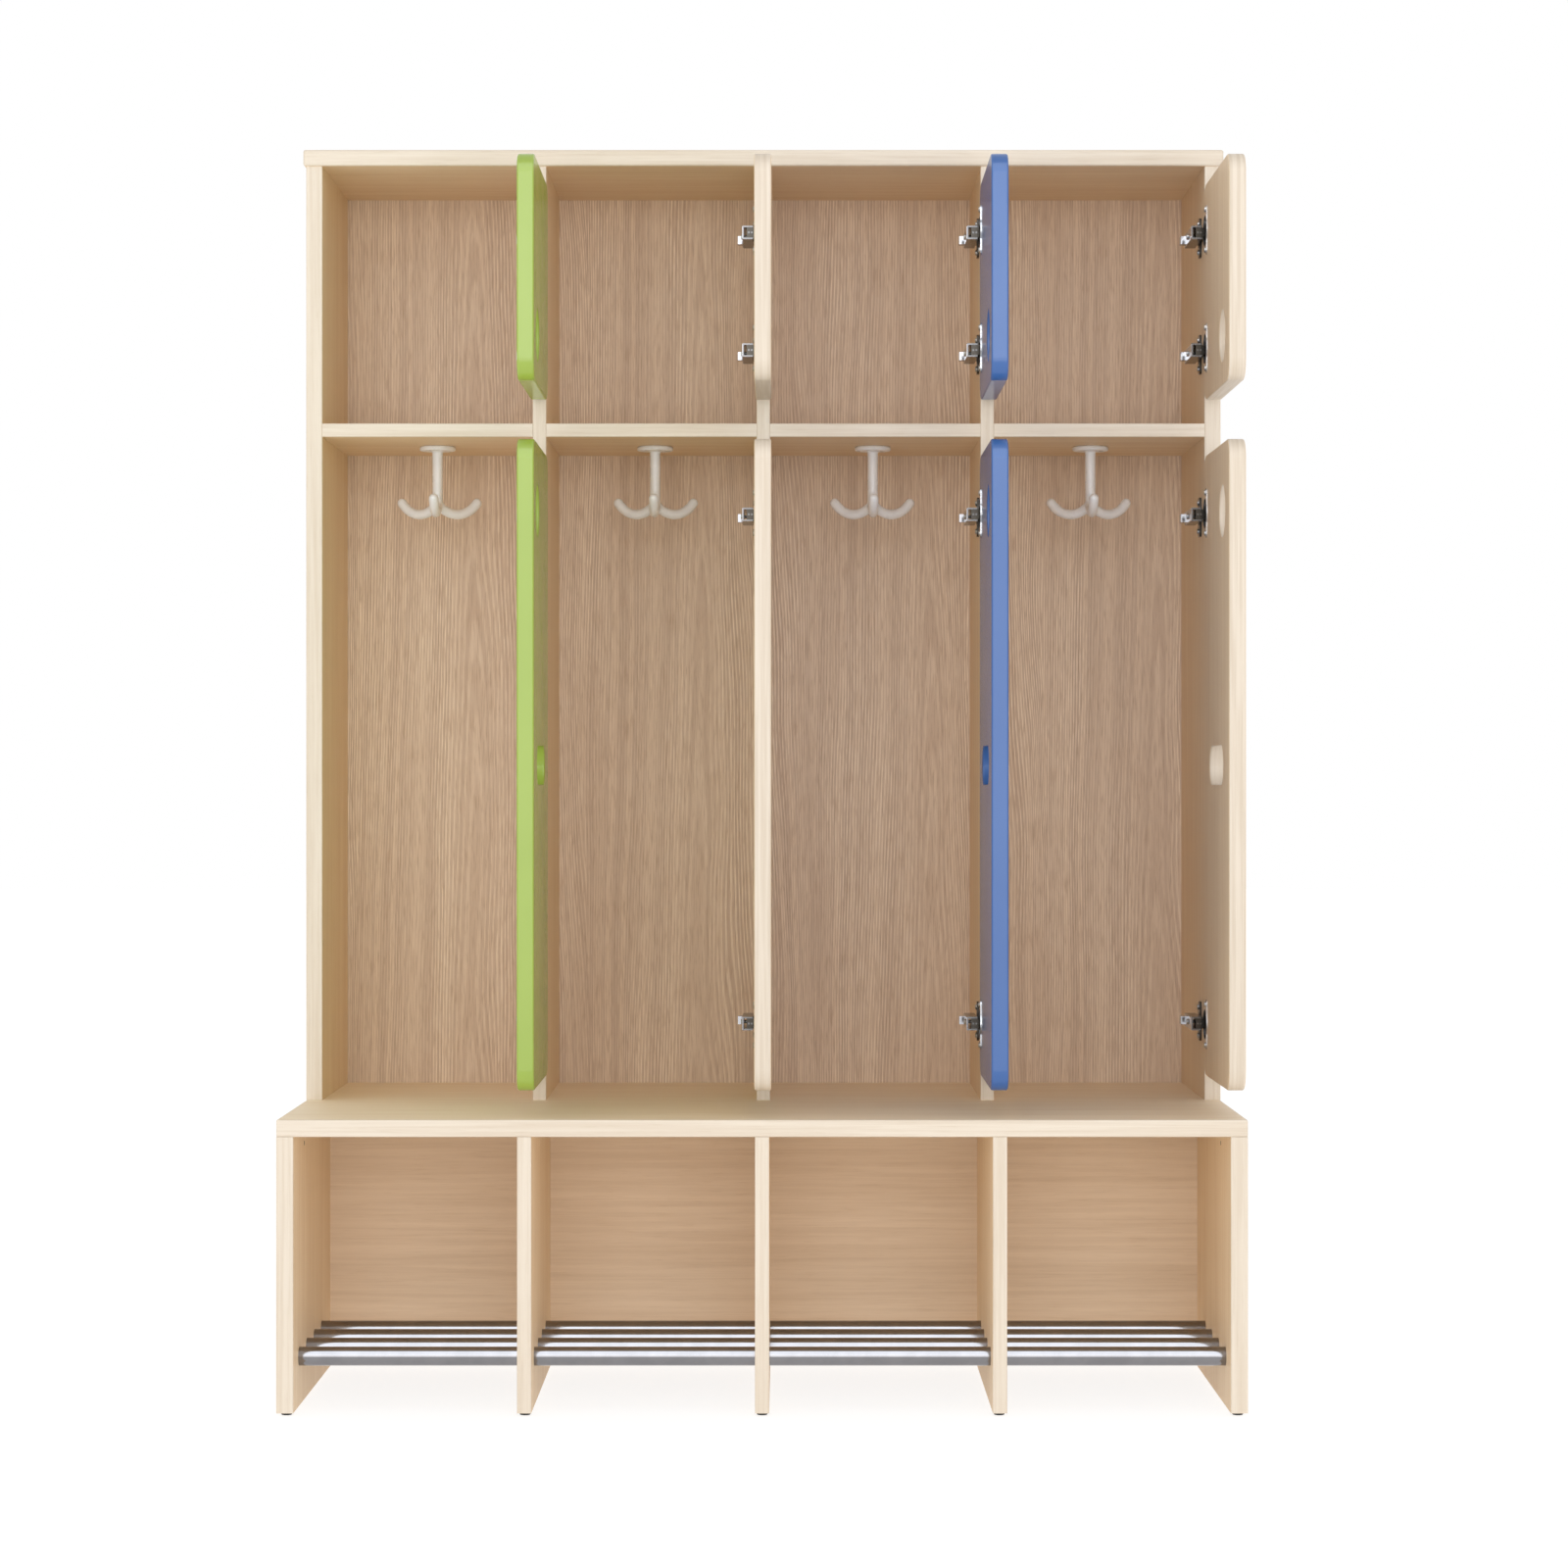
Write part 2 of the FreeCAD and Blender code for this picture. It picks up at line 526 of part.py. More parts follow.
def mounting_plate(wall, z):
    """Cruciform plate with two screw wings and a saddle under the arm."""
    line, half_h = front + PLATE_SETBACK, ARM_H / 2 - ARM_T - SADDLE_FIT
    saddle = box(wall - SADDLE_STANDOFF, wall, line - PLATE_L / 2, line + PLATE_L / 2, z - half_h, z + half_h)
    wings = box(wall - PLATE_T, wall, line - WING_L / 2, line + WING_L / 2, z - WING_H / 2, z + WING_H / 2)
    corners = [edge for y in (line - WING_L / 2, line + WING_L / 2) for end in (-1, 1)
               for edge in edges_at(wings, Y=y, Z=z + end * WING_H / 2)]
    plate = saddle.fuse(wings.makeFillet(WING_L / 4, corners)).removeSplitter()
    holes = [rod(ARM_SCREW_R + SCREW_FIT, ARM_SCREW_L, arm_screw_seat(wall, z), X)]
    holes += [rod(SCREW_R + SCREW_FIT, PLATE_T, seat, X) for seat in plate_screw_seats(wall, z)]
    return plate.cut(holes)


def arm_screw_seat(wall, z):
    return Vector(wall - ARM_STANDOFF, front + ARM_SCREW_SETBACK, z)


def plate_screw_seats(wall, z):
    line = front + PLATE_SETBACK
    return [Vector(wall - PLATE_T, line, z + side * WING_SCREW_SPACING / 2) for side in (-1, 1)]


arms, plates, pins, plate_screws, arm_screws = [], [], [], [], []
pin_length = NECK_H + 2 * (LUG_GAP + LUG_T)
plate_screw_l = PLATE_T + DIVIDER_T - SCREW_SKIN
for wall in walls:
    for z in upper_hinges + lower_hinges:
        arms.append(hinge_arm(wall, z))
        plates.append(mounting_plate(wall, z))
        pins.append(rod(PIN_R, pin_length, door_point(wall, pin_inset, PIN_DEPTH, z - pin_length / 2), Z))
        arm_screws.append(screw(arm_screw_seat(wall, z), X, ARM_SCREW_L, ARM_SCREW_R))
        for seat in plate_screw_seats(wall, z):
            plate_screws.append(screw(seat, X, plate_screw_l))
            bore(SCREW_R + SCREW_FIT, plate_screw_l, seat, X)
parts["hinge_arms"] = group(arms)
parts["hinge_mounting_plates"] = group(plates)
parts["hinge_pins"] = group(pins)
parts["hinge_arm_screws"] = group(arm_screws)
parts["hinge_plate_screws"] = group(plate_screws)
parts["joint_dowels"] = group(dowels)

# Holes go through every board that they meet
BOARDS = ("bench_", "left_", "right_", "divider_", "shelf_", "top_", "seat_board", "back_panel")
for name in parts:
    if name.startswith(BOARDS) and name != "back_panel_screws":
        bounds = parts[name].BoundBox
        parts[name] = parts[name].cut([cut for cut in cuts if bounds.intersect(cut.BoundBox)])

os.makedirs("parts", exist_ok=True)
for name, shape in parts.items():
    solids = shape.Solids
    assert solids and all(solid.isValid() for solid in solids), name
    (solids[0] if len(solids) == 1 else group(solids)).exportStep(f"parts/{name}.step")
print(f"{len(parts)} nodes, overall width {width + 2 * TOP_OVERHANG:.1f}, depth {BENCH_D:.1f}, "
      f"height {top_under + TOP_T:.1f}")
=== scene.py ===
"""Children's cloakroom bench in pale maple laminate, with green, blue and cream doors standing open."""

import json
import math

import bmesh
import bpy
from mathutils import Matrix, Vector

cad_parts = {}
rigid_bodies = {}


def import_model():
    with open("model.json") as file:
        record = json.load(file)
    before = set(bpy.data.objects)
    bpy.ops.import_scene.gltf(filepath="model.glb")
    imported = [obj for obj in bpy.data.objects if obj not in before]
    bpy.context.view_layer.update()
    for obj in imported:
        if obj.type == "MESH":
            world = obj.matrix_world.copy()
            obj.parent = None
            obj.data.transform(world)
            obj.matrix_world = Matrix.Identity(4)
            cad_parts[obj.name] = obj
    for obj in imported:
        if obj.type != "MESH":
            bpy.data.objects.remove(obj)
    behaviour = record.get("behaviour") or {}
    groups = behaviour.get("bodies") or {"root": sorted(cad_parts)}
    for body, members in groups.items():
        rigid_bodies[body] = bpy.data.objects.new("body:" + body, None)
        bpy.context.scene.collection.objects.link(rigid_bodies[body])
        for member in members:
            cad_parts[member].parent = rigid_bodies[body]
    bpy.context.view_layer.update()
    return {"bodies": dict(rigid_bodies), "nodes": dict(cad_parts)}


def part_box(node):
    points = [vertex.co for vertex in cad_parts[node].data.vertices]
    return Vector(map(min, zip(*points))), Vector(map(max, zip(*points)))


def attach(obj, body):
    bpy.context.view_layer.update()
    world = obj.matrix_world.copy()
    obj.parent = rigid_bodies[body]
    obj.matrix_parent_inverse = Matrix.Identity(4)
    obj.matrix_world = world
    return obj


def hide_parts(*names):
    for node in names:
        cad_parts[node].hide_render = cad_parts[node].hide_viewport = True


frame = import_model()


# Glides.
# Small black plastic feet under the ends of each bench upright, moulded in one with the spike that is
# knocked into the board.
class Value:
    """A node's output that takes part in Python sums: each operator adds one Math node."""

    def __init__(self, wiring, socket):
        self.wiring = wiring
        self.socket = socket

    def maths(self, operation, first, second):
        return self.wiring.node("ShaderNodeMath", {"operation": operation}, {0: first, 1: second})

    def __add__(self, other):
        return self.maths("ADD", self, other)

    def __radd__(self, other):
        return self.maths("ADD", other, self)

    def __sub__(self, other):
        return self.maths("SUBTRACT", self, other)

    def __rsub__(self, other):
        return self.maths("SUBTRACT", other, self)

    def __mul__(self, other):
        return self.maths("MULTIPLY", self, other)

    def __rmul__(self, other):
        return self.maths("MULTIPLY", other, self)

    def lesser(self, other):
        return self.maths("MINIMUM", self, other)


class Wiring:
    """A node tree while it is being wired."""

    def __init__(self, tree):
        self.tree = tree

    def feed(self, socket, value):
        """Links one value, or each of a list of values, to a socket, or sets the socket's own number."""
        if isinstance(value, Value):
            self.tree.links.new(value.socket, socket)
        elif isinstance(value, list):
            for each in value:
                self.tree.links.new(each.socket, socket)
        else:
            socket.default_value = value

    def node(self, kind, settings=None, sockets=None, out=0):
        """A new node: its settings first, then its sockets; returns the chosen output."""
        made = self.tree.nodes.new(kind)
        for name, setting in (settings or {}).items():
            setattr(made, name, setting)
        for name, value in (sockets or {}).items():
            self.feed(made.inputs[name], value)
        return Value(self, made.outputs[out])


class Finish(Wiring):
    """One material while it is being wired."""

    def __init__(self, name):
        self.material = bpy.data.materials.new(name)
        self.material.use_nodes = True
        super().__init__(self.material.node_tree)
        self.shader = self.tree.nodes["Principled BSDF"]

    def place(self, stretch=(1, 1, 1)):
        """Object coordinates, squeezed along the axes that a pattern is drawn out in."""
        spot = self.node("ShaderNodeTexCoord", out="Object")
        return self.node("ShaderNodeMapping", None, {"Vector": spot, "Scale": stretch})

    def axis(self, name):
        """One object coordinate, in metres."""
        spot = self.node("ShaderNodeTexCoord", out="Object")
        return self.node("ShaderNodeSeparateXYZ", None, {"Vector": spot}, out=name)

    def noise(self, place, size, detail=3.0, roughness=0.55, distortion=0.0):
        """Cloudy noise whose clouds are about size across."""
        return self.node("ShaderNodeTexNoise", None, {"Vector": place, "Scale": 1 / size, "Detail": detail,
                                                      "Roughness": roughness, "Distortion": distortion})

    def between(self, value, low, high):
        """0 below low, 1 above high, smooth in between."""
        return self.node("ShaderNodeMapRange", {"interpolation_type": "SMOOTHSTEP"},
                         {"Value": value, "From Min": low, "From Max": high})

    def blend(self, share, first, second):
        """The first colour where share is 0, the second where it is 1."""
        return self.node("ShaderNodeMix", {"data_type": "RGBA"}, {0: share, 6: first, 7: second}, out=2)

    def relief(self, height, depth):
        return self.node("ShaderNodeBump", None, {"Height": height, "Distance": depth, "Strength": 1.0})

    def surface(self, **sockets):
        """Sets the shader's sockets, with Base_Color for Base Color, and returns the material."""
        for name, value in sockets.items():
            self.feed(self.shader.inputs[name.replace("_", " ")], value)
        return self.material


def dress(material, *nodes):
    """Gives CAD nodes their finish."""
    for name in nodes:
        for slot in frame["nodes"][name].material_slots:
            slot.material = material


def clouded(name, colour, shade, cloud, roughness, metallic=0.0, grit=0.0, shine=0.5):
    """Smooth stuff whose colour and gloss drift a little, with a grit of that depth."""
    gloss_drift = 0.08
    grit_size = 0.0006
    finish = Finish(name)
    drift = finish.noise(finish.place(), cloud)
    tint = finish.blend(finish.between(drift, 0.35, 0.65), (*colour, 1), (*shade, 1))
    finish.surface(Base_Color=tint, Roughness=roughness + drift * gloss_drift, Metallic=metallic,
                   Specular_IOR_Level=shine)
    if grit:
        grain = finish.noise(finish.place(), grit_size, detail=2.0)
        finish.surface(Normal=finish.relief(grain, grit))
    return finish.material


black_plastic = clouded("black_plastic", colour=(0.004, 0.004, 0.004), shade=(0.008, 0.008, 0.008),
                        cloud=0.002, roughness=0.42, grit=0.00004, shine=0.15)
dress(black_plastic, "glide_feet")


# Bench uprights.
# Chipboard faced with warm maple foil, its fibres running up the board, and edged with a paler strip of
# the same print that is glued on and rounded over.
pore_depth = 0.00006
face_pale = (0.90, 0.71, 0.48)
face_dark = (0.77, 0.555, 0.345)
strip_pale = (0.81, 0.71, 0.585)
strip_dark = (0.66, 0.54, 0.405)


def fibres(finish, grain, width, drawn_out, low, high, distortion=0.3):
    """Streaks of a wood print along one axis: 0 between them and 1 where they are darkest."""
    stretch = tuple(drawn_out if axis == grain else 1.0 for axis in "XYZ")
    threads = finish.noise(finish.place(stretch), width, detail=3.0, roughness=0.6, distortion=distortion)
    return finish.between(threads, low, high)


def foil(finish, grain, pale, dark, contrast=1.0):
    """Colour of a maple print with bands, streaks and pores along the grain, and the last two of these."""
    bands = fibres(finish, grain, width=0.022, drawn_out=0.05, low=0.35, high=0.65, distortion=0.6)
    streaks = fibres(finish, grain, width=0.0046, drawn_out=0.02, low=0.32, high=0.68)
    pores = fibres(finish, grain, width=0.0017, drawn_out=0.05, low=0.52, high=0.72)
    share = (bands * 0.3 + streaks * 0.35 + pores * 0.25) * contrast
    return finish.blend(share, (*pale, 1), (*dark, 1)), streaks, pores


def maple(name, grain, rims=(), pale=face_pale, dark=face_dark, contrast=1.0):
    """Maple foil and its strip. Rims are (axis, low, high): the strip covers what lies within its own
    thickness of those places."""
    strip_thickness = 0.0015
    glue_line = 0.0003
    finish = Finish(name)
    colour, streaks, pores = foil(finish, grain, pale, dark, contrast)
    if rims:
        inside = [(finish.axis(axis) - low).lesser(high - finish.axis(axis)) for axis, low, high in rims]
        nearest = inside[0]
        for other in inside[1:]:
            nearest = nearest.lesser(other)
        on_strip = 1 - finish.between(nearest, strip_thickness, strip_thickness + glue_line)
        strip = finish.blend(streaks * 0.5 + pores * 0.2, (*strip_pale, 1), (*strip_dark, 1))
        colour = finish.blend(on_strip, colour, strip)
    return finish.surface(Base_Color=colour, Roughness=0.5 + pores * 0.1 + streaks * 0.04,
                          Normal=finish.relief(1 - pores, pore_depth))


def rims_of(node, axes):
    """The places of a board's strips along the named axes."""
    low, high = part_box(node)
    return [(axis, low["XYZ".index(axis)], high["XYZ".index(axis)]) for axis in axes]


dress(maple("bench_upright_maple", "Z", rims_of("bench_side_left", "Y")),
      "bench_side_left", "bench_side_right", "bench_divider_1", "bench_divider_2", "bench_divider_3")


# Shoe rails.
# Four polished steel tubes that run through the bench dividers and end in blind holes in the sides.
class Jig(Wiring):
    """Geometry nodes that make one kind of piece; the tree's named inputs are the piece's sizes."""

    def __init__(self, name):
        super().__init__(bpy.data.node_groups.new(name, "GeometryNodeTree"))
        self.tree.interface.new_socket("Geometry", in_out="OUTPUT", socket_type="NodeSocketGeometry")
        self.tree.interface.new_socket("Places", in_out="INPUT", socket_type="NodeSocketGeometry")
        self.start = self.tree.nodes.new("NodeGroupInput")
        self.places = Value(self, self.start.outputs["Places"])
        self.sizes = {}

    def size(self, name, value):
        """A named input, with the value it has unless make() is given another."""
        kinds = {int: "NodeSocketInt", float: "NodeSocketFloat", tuple: "NodeSocketVector"}
        socket = self.tree.interface.new_socket(name, in_out="INPUT", socket_type=kinds[type(value)])
        self.sizes[name] = (socket.identifier, value)
        return Value(self, self.start.outputs[name])

    def point(self, **axes):
        return self.node("ShaderNodeCombineXYZ", None, axes)

    def shift(self, shape, place=(0, 0, 0), turn=(0, 0, 0)):
        return self.node("GeometryNodeTransform", None,
                         {"Geometry": shape, "Translation": place, "Rotation": turn})

    def join(self, shapes):
        return self.node("GeometryNodeJoinGeometry", None, {"Geometry": list(reversed(shapes))})

    def end(self, shape, material):
        """The tree's last nodes: real geometry with its material."""
        real = self.node("GeometryNodeRealizeInstances", None, {"Geometry": shape})
        done = self.node("GeometryNodeSetMaterial", None, {"Geometry": real, "Material": material})
        self.feed(self.tree.nodes.new("NodeGroupOutput").inputs[0], done)

    def make(self, name, places, **sizes):
        """Runs the tree on the places and returns the result as a plain mesh object at the origin."""
        smooth_below = math.radians(35)
        spots = bpy.data.meshes.new(name + "_places")
        spots.from_pydata(places, [], [])
        piece = bpy.data.objects.new(name, spots)
        bpy.context.scene.collection.objects.link(piece)
        modifier = piece.modifiers.new(name, "NODES")
        modifier.node_group = self.tree
        for size, (identifier, value) in self.sizes.items():
            modifier[identifier] = sizes.get(size, value)
        made = bpy.data.meshes.new_from_object(piece.evaluated_get(bpy.context.evaluated_depsgraph_get()))
        piece.modifiers.remove(modifier)
        piece.data = made
        made.shade_smooth()
        made.set_sharp_from_angle(angle=smooth_below)
        return piece


def fit(piece, body, slot, *nodes):
    """The piece moves with a body and stands for its CAD nodes."""
    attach(piece, body)
    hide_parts(*nodes)


def middle(node):
    low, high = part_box(node)
    return (low + high) / 2


rail_nodes = ["shoe_rail_1", "shoe_rail_2", "shoe_rail_3", "shoe_rail_4"]
rail_low, rail_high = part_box(rail_nodes[0])
rails = Jig("shoe_rails")
rail_radius = rails.size("Radius", (rail_high.z - rail_low.z) / 2)
rail_wall = rails.size("Wall", 0.0012)
rail_length = rails.size("Length", rail_high.x - rail_low.x)
rail_sides = rails.size("Sides", 96)
rail_wall_section = rails.node("GeometryNodeCurvePrimitiveQuadrilateral", {"mode": "RECTANGLE"},
                               {"Width": rail_wall, "Height": rail_length})
rail_round = rails.node("GeometryNodeCurvePrimitiveCircle", {"mode": "RADIUS"},
                        {"Resolution": rail_sides, "Radius": rail_radius - rail_wall * 0.5})
rail_tube = rails.node("GeometryNodeCurveToMesh", None,
                       {"Curve": rail_round, "Profile Curve": rail_wall_section})
rail_lying = rails.shift(rail_tube, turn=(0, math.pi / 2, 0))
polished_steel = clouded("polished_steel", colour=(0.262, 0.258, 0.27), shade=(0.238, 0.235, 0.246),
                         cloud=0.03, roughness=0.05, metallic=1.0)
rails.end(rails.node("GeometryNodeInstanceOnPoints", None, {"Points": rails.places, "Instance": rail_lying}),
          polished_steel)
fit(rails.make("shoe_rails", [middle(node) for node in rail_nodes]), "cabinet", "polished_tube", *rail_nodes)


# Boards behind the shoes.
# Thin faced boards let in between the bench uprights, a little darker, with long level fibres that show as
# fine lines.
dress(maple("bench_back_maple", "X", pale=(0.87, 0.69, 0.505), dark=(0.63, 0.45, 0.29), contrast=0.7),
      "bench_back_boards")


# Seat.
# One board over the bench uprights, its fibres from side to side and its front and ends edged with strip.
# Steel connectors in the bench sides draw it down.
# Painted light: the seat's maple is a paler copy of the uprights' maple, made paler to stand in for the
# light on its top.
seat_maple = maple("seat_maple", "X", rims_of("seat_board", "XY"), pale=(0.98, 0.82, 0.60),
                   dark=(0.86, 0.67, 0.46))
dress(seat_maple, "seat_board")
dress(clouded("connector_steel", colour=(0.12, 0.10, 0.08), shade=(0.08, 0.07, 0.06), cloud=0.002,
              roughness=0.5, metallic=0.6), "seat_connectors")


# Locker uprights.
# Two sides and three dividers of the same faced board that stand on the seat, edged in front. Beech dowels
# join them to the seat, the shelves and the top.
dress(maple("locker_upright_maple", "Z", rims_of("divider_1", "Y")),
      "left_side_panel", "right_side_panel", "divider_1", "divider_2", "divider_3")
dress(clouded("beech", colour=(0.58, 0.38, 0.22), shade=(0.5, 0.31, 0.17), cloud=0.004, roughness=0.6),
      "joint_dowels")


# Shelves.
# Short lengths of the same faced board between the uprights, their fibres from side to side, edged in front
# and fixed with dowels.
dress(maple("shelf_maple", "X", rims_of("shelf_1", "Y")), "shelf_1", "shelf_2", "shelf_3", "shelf_4")


# Coat hooks.
# One piece of off-white plastic each: a round flange under the shelf, a stem and three arms that dip and
# curl up, all running into each other as mouldings do. A steel stud holds it from inside.
def solids(node):
    """Low and high corner of each separate solid in a CAD node, found on a merged copy of its mesh."""
    same_place = 0.00001
    copy = bmesh.new()
    copy.from_mesh(frame["nodes"][node].data)
    bmesh.ops.remove_doubles(copy, verts=copy.verts, dist=same_place)
    left = set(copy.verts)
    boxes = []
    while left:
        edge = [left.pop()]
        group = []
        while edge:
            vert = edge.pop()
            group.append(vert.co.copy())
            near = {link.other_vert(vert) for link in vert.link_edges} & left
            left -= near
            edge.extend(near)
        boxes.append((Vector(map(min, zip(*group))), Vector(map(max, zip(*group)))))
    copy.free()
    return sorted(boxes, key=lambda box: [round(place, 5) for place in box[0]])


hook_nodes = ["coat_hook_1", "coat_hook_2", "coat_hook_3", "coat_hook_4"]
hooks = Jig("coat_hooks")
flange_radius = hooks.size("Flange radius", 0.0206)
flange_thickness = hooks.size("Flange thickness", 0.0052)
stem_radius = hooks.size("Stem radius", 0.0061)
arm_radius = hooks.size("Arm radius", 0.0058)
arm_reach = hooks.size("Arm reach", 0.0500)
arm_root = hooks.size("Arm root", 0.066)
arm_dip = hooks.size("Arm dip", 0.0812)
arm_tip = hooks.size("Arm tip", 0.063)
voxel = hooks.size("Moulding step", 0.0009)
blending = hooks.size("Blending steps", 7)
near_handle, far_handle = 0.28, 0.71
handle_tilt = 0.001
arm_turns = [math.radians(turn) for turn in (0, 120, 240)]


def ball(radius):
    return hooks.node("GeometryNodeMeshUVSphere", None, {"Segments": 24, "Rings": 12, "Radius": radius})


def disc(sides, radius, depth):
    """A round bar that hangs down from the shelf."""
    bar = hooks.node("GeometryNodeMeshCylinder", None, {"Vertices": sides, "Radius": radius, "Depth": depth})
    return hooks.shift(bar, hooks.point(Z=depth * -0.5))


arm_end = hooks.point(Y=0 - arm_reach, Z=0 - arm_tip)
arm_line = hooks.node("GeometryNodeCurvePrimitiveBezierSegment", {"mode": "POSITION"}, {
    "Resolution": 40,
    "Start": hooks.point(Z=0 - arm_root),
    "Start Handle": hooks.point(Y=arm_reach * -near_handle, Z=handle_tilt - arm_dip),
    "End Handle": hooks.point(Y=arm_reach * -far_handle, Z=-handle_tilt - arm_dip),
    "End": arm_end})
arm_round = hooks.node("GeometryNodeCurvePrimitiveCircle", {"mode": "RADIUS"},
                       {"Resolution": 24, "Radius": arm_radius})
arm_bar = hooks.node("GeometryNodeCurveToMesh", None,
                     {"Curve": arm_line, "Profile Curve": arm_round, "Fill Caps": True})
arm = hooks.join([arm_bar, hooks.shift(ball(arm_radius), arm_end)])
arms = [hooks.shift(arm, turn=(0, 0, turn)) for turn in arm_turns]
flange = disc(64, flange_radius, flange_thickness)
stem = disc(32, stem_radius, arm_root)
boss = hooks.shift(ball(stem_radius), hooks.point(Z=0 - arm_root))
rough_shape = hooks.join([flange, stem, boss, *arms])
melt = hooks.node("GeometryNodeMeshToVolume", {"resolution_mode": "VOXEL_SIZE"}, {
    "Mesh": rough_shape, "Voxel Size": voxel, "Interior Band Width": voxel * 3.0})
cast = hooks.node("GeometryNodeVolumeToMesh", {"resolution_mode": "GRID"},
                  {"Volume": melt, "Threshold": 0.05})
softened = hooks.node("GeometryNodeBlurAttribute", {"data_type": "FLOAT_VECTOR"}, {
    "Value": hooks.node("GeometryNodeInputPosition"), "Iterations": blending})
moulded = hooks.node("GeometryNodeSetPosition", None, {"Geometry": cast, "Position": softened})
hook_plastic = clouded("hook_plastic", colour=(0.94, 0.945, 0.955), shade=(0.915, 0.915, 0.92), cloud=0.02,
                       roughness=0.24, grit=0.00003)
hooks.end(hooks.node("GeometryNodeInstanceOnPoints", None, {"Points": hooks.places, "Instance": moulded}),
          hook_plastic)
shelf_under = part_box("shelf_1")[0].z
hook_hubs = [(*((low + high) / 2).xy, shelf_under) for low, high in solids("coat_hook_studs")]
dress(clouded("stud_steel", colour=(0.5, 0.49, 0.47), shade=(0.42, 0.41, 0.4), cloud=0.002, roughness=0.35,
              metallic=1.0), "coat_hook_studs")
fit(hooks.make("coat_hooks", hook_hubs), "cabinet", "hook_plastic", *hook_nodes)


# Top board.
# Faced board on dowels that overhangs the sides a little, edged in front and at both ends, with well rounded
# corners.
dress(maple("top_maple", "X", rims_of("top_panel", "XY")), "top_panel")


# Locker back.
# Thin board with a lively upright print of narrow lines, screwed to the rear of the uprights.
def back_print():
    """Growth rings cut lengthwise: pale lines, straight beside each pith line and arched over it, that come
    and go over broad tan bands."""
    pith_spacing = 0.135
    pith_shift = 0.05
    pith_depth = 0.022
    taper = 0.016
    ring = 0.0031
    relief_depth = 0.00008
    ground_pale = (0.775, 0.60, 0.445, 1)
    ground_tan = (0.65, 0.48, 0.348, 1)
    line_pale = (1.0, 0.84, 0.66, 1)
    pore_brown = (0.44, 0.275, 0.16, 1)
    finish = Finish("back_print")
    wander = finish.noise(finish.place((1, 1, 0.16)), 0.11, detail=2.0, roughness=0.5)
    across = finish.axis("X") + pith_shift + wander * 0.05
    from_pith = across.maths("PINGPONG", across, pith_spacing)
    squared = from_pith * from_pith + pith_depth ** 2
    rings = squared.maths("SQRT", squared, 0.0) + finish.axis("Z") * taper + wander * 0.02
    turns = rings * (2 * math.pi / ring)
    wave = turns.maths("SINE", turns, 0.0)
    years = finish.node("ShaderNodeTexNoise", {"noise_dimensions": "1D"},
                        {"W": rings, "Scale": 1 / (5 * ring), "Detail": 2.0, "Roughness": 0.6})
    zone = finish.between(finish.noise(finish.place((1, 1, 0.12)), 0.07, detail=1.0), 0.38, 0.62)
    breaks = fibres(finish, "Z", width=0.0022, drawn_out=0.06, low=0.3, high=0.66)
    pores = fibres(finish, "Z", width=0.0014, drawn_out=0.045, low=0.45, high=0.68)
    lines = finish.between(wave, -0.3, 0.9) * (0.35 + zone * 0.65) * (0.45 + breaks * 0.55)
    lines = lines * (0.45 + finish.between(from_pith, 0.008, 0.035) * 0.55)
    ground = finish.blend(finish.between(years, 0.35, 0.65), ground_pale, ground_tan)
    lined = finish.blend(lines, ground, line_pale)
    colour = finish.blend(pores * 0.46, lined, pore_brown)
    return finish.surface(Base_Color=colour, Roughness=0.5 + pores * 0.1,
                          Normal=finish.relief(lines, relief_depth))


zinc = clouded("zinc_plate", colour=(0.5, 0.49, 0.47), shade=(0.4, 0.39, 0.375), cloud=0.003, roughness=0.25,
               metallic=1.0)
screws = Jig("cross_head_screws")
head_top = screws.size("Head top radius", 0.0028)
head_base = screws.size("Head base radius", 0.0035)
head_height = screws.size("Head height", 0.0016)
shank_radius = screws.size("Shank radius", 0.0019)
screw_length = screws.size("Length", 0.014)
cross_length = screws.size("Cross length", 0.0038)
cross_width = screws.size("Cross width", 0.0009)
cross_depth = screws.size("Cross depth", 0.0011)
facing = screws.size("Facing", (0.0, 0.0, 0.0))
seed = screws.size("Seed", 7)
head = screws.shift(screws.node("GeometryNodeMeshCone", None, {
    "Vertices": 20, "Radius Top": head_top, "Radius Bottom": head_base, "Depth": head_height}),
    screws.point(Z=0 - head_height))
bar = screws.node("GeometryNodeMeshCube", None, {
    "Size": screws.point(X=cross_length, Y=cross_width, Z=cross_depth * 2)})
driven = screws.node("GeometryNodeMeshBoolean", {"operation": "DIFFERENCE", "solver": "EXACT"}, {
    "Mesh 1": head, "Mesh 2": [bar, screws.shift(bar, turn=(0, 0, math.pi / 2))]})
shank = screws.shift(screws.node("GeometryNodeMeshCylinder", None, {
    "Vertices": 12, "Radius": shank_radius, "Depth": screw_length - head_height}),
    screws.point(Z=(screw_length + head_height) * -0.5))
spin = screws.node("FunctionNodeRandomValue", {"data_type": "FLOAT"},
                   {"Min": 0.0, "Max": math.pi, "Seed": seed}, out=1)
driven_in = screws.node("FunctionNodeRotateRotation", {"rotation_space": "LOCAL"}, {
    "Rotation": screws.node("FunctionNodeEulerToRotation", None, {"Euler": facing}),
    "Rotate By": screws.node("FunctionNodeEulerToRotation", None, {"Euler": screws.point(Z=spin)})})
screws.end(screws.node("GeometryNodeInstanceOnPoints", None, {
    "Points": screws.places, "Instance": screws.join([driven, shank]), "Rotation": driven_in}), zinc)
facing_left = (0.0, -math.pi / 2, 0.0)
facing_rear = (-math.pi / 2, 0.0, 0.0)


